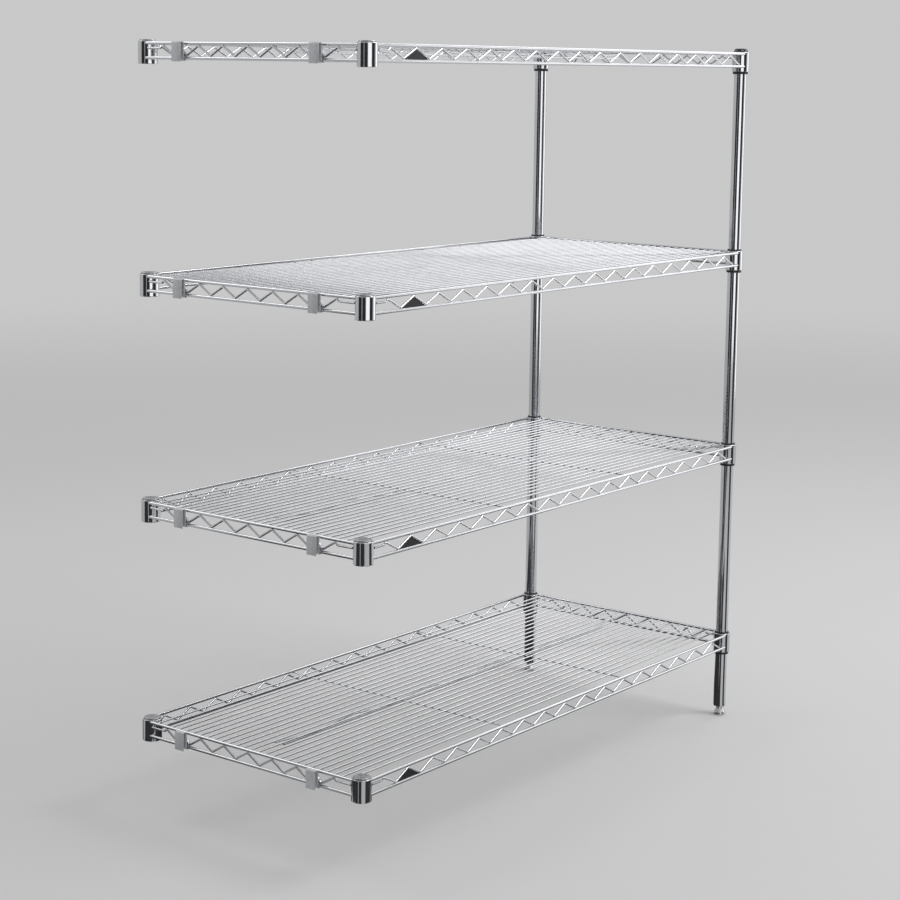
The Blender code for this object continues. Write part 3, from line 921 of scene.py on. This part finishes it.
def aimed(where, target):
    """A matrix at a place whose -Z side faces a target, kept upright."""
    turn = (Vector(target) - Vector(where)).to_track_quat("-Z", "Y").to_matrix().to_4x4()
    return Matrix.Translation(where) @ turn


def softbox(name, where, target, size, power, on_paper=True):
    """A soft lamp; one that is not on the paper shows in the plating only."""
    lamp = bpy.data.lights.new(name, "AREA")
    lamp.shape = "RECTANGLE"
    lamp.size, lamp.size_y = size
    lamp.energy = power
    box = bpy.data.objects.new(name, lamp)
    box.matrix_world = aimed(where, target)
    box.visible_camera = False
    box.visible_diffuse = on_paper
    bpy.context.collection.objects.link(box)


dark_shade = 0.05
pale_shade = 0.66
card_ring = 5.0
card_height = 2.0
card_steps = 8


def unseen_card(name, body, shade=dark_shade):
    """A card that shows only in the plating, and neither blocks nor bounces the lamps."""
    mesh = bpy.data.meshes.new(name)
    body.to_mesh(mesh)
    body.free()
    cloth = bpy.data.materials.new(name)
    cloth.use_nodes = True
    shader = cloth.node_tree.nodes["Principled BSDF"]
    shader.inputs["Base Color"].default_value = (shade, shade, shade, 1.0)
    shader.inputs["Roughness"].default_value = 1.0
    shader.inputs["Specular IOR Level"].default_value = 0.0
    mesh.materials.append(cloth)
    card = bpy.data.objects.new(name, mesh)
    card.visible_camera = False
    card.visible_diffuse = False
    card.visible_shadow = False
    bpy.context.collection.objects.link(card)


def arc(centre, radius, first, last):
    """Plan points on an arc round a centre, between two azimuths in degrees."""
    azimuths = [math.radians(first + (last - first) * i / card_steps) for i in range(card_steps + 1)]
    return [(centre[0] + radius * math.cos(a), centre[1] + radius * math.sin(a)) for a in azimuths]


def upright_card(name, first, last):
    """A bent card that stands on the floor round the unit, between two azimuths."""
    body = bmesh.new()
    bend = arc((0.0, 0.0), card_ring, first, last)
    foot = [body.verts.new((x, y, 0.0)) for x, y in bend]
    top = [body.verts.new((x, y, card_height)) for x, y in bend]
    for k in range(card_steps):
        body.faces.new((foot[k], foot[k + 1], top[k + 1], top[k]))
    unseen_card(name, body)


def floor_card(name, outline, height, shade=dark_shade):
    """A flat card just above the floor."""
    body = bmesh.new()
    body.faces.new([body.verts.new((x, y, height)) for x, y in outline])
    unseen_card(name, body, shade)


def floor_fan(name, tip, reach, first, last, height, shade=dark_shade):
    """A flat card in the shape of a fan, with its tip under a collar."""
    floor_card(name, [tip] + arc(tip, reach, first, last), height, shade)


softbox("front_high", (1.7, -2.9, 3.9), (0.0, 0.0, 0.7), (2.4, 1.8), 85.0)
softbox("right_high", (3.7, -0.3, 3.7), (0.0, 0.0, 0.7), (2.0, 1.8), 22.0)
softbox("right_wall", (4.2, -2.4, 1.3), (0.0, 0.0, 0.9), (2.6, 2.6), 22.0, on_paper=False)
softbox("front_wall", (-2.3, -4.5, 1.1), (0.0, 0.0, 1.0), (3.1, 2.1), 18.0, on_paper=False)
softbox("left_high", (-1.4, 2.8, 3.7), (-0.4, 0.0, 0.7), (2.0, 1.8), 20.0)
dark_sectors = ((149.0, 184.0), (189.0, 221.0), (263.0, 299.0))
pale_sector = (221.0, 263.0)
dark_reach = {"front": 0.9, "rear": 0.45}
pale_reach = {"front": 1.7, "rear": 0.8}
under_plan = [(-0.62, -0.28), (0.58, -0.28), (0.58, 0.9), (-0.62, 0.9)]
# Heights of the flat cards above the floor, each its own where the cards overlap
fan_layer = 0.003
pale_layer = 0.002
far_layer = 0.001
under_layer = 0.0006
layer_step = 0.0003
for k, (first, last) in enumerate(dark_sectors):
    upright_card(f"card_{k}", first, last)
    for row in rows:
        for end in ("left", "right"):
            tip = corners[1, row, end][:2]
            height = fan_layer + layer_step * (k + 3 * (row == "rear") + 6 * (end == "right"))
            floor_fan(f"floor_{k}_{row}_{end}", tip, dark_reach[row], first, last, height)
    outer_edge = arc((0.0, 0.0), card_ring, first, last)
    inner_edge = arc(corners[1, "front", "right"], dark_reach["front"], last, first)
    floor_card(f"floor_{k}_far", outer_edge + inner_edge, far_layer)
for row in rows:
    tip = corners[1, row, "left"][:2]
    height = pale_layer + layer_step * (row == "rear")
    floor_fan(f"floor_pale_{row}", tip, pale_reach[row], *pale_sector, height, pale_shade)
floor_card("under_unit", under_plan, under_layer)

# Camera
# It stands where the photograph was taken from, as fitted to the corners of the shelves, and has
# part of the photograph's lens shift.


lens_mm = 82.81
eye = Vector((-3.145, -2.398, 1.363))
yaw = math.radians(37.67)
pitch = math.radians(-8.10)
roll = math.radians(0.80)
ahead = Vector((math.cos(pitch) * math.cos(yaw), math.cos(pitch) * math.sin(yaw), math.sin(pitch)))
level_right = Vector((math.sin(yaw), -math.cos(yaw), 0.0))
level_up = level_right.cross(ahead)
right_hand = level_right * math.cos(roll) + level_up * math.sin(roll)
up = level_up * math.cos(roll) - level_right * math.sin(roll)
view = bpy.data.cameras.new("camera")
view.lens = lens_mm
view.sensor_width = 36.0
view.sensor_fit = "HORIZONTAL"
view.shift_y = -0.1
view.clip_end = 100.0
camera = bpy.data.objects.new("camera", view)
camera.matrix_world = Matrix((
    (right_hand.x, up.x, -ahead.x, eye.x),
    (right_hand.y, up.y, -ahead.y, eye.y),
    (right_hand.z, up.z, -ahead.z, eye.z),
    (0.0, 0.0, 0.0, 1.0),
))
bpy.context.collection.objects.link(camera)
bpy.context.scene.camera = camera
bpy.context.scene.view_settings.view_transform = "Standard"
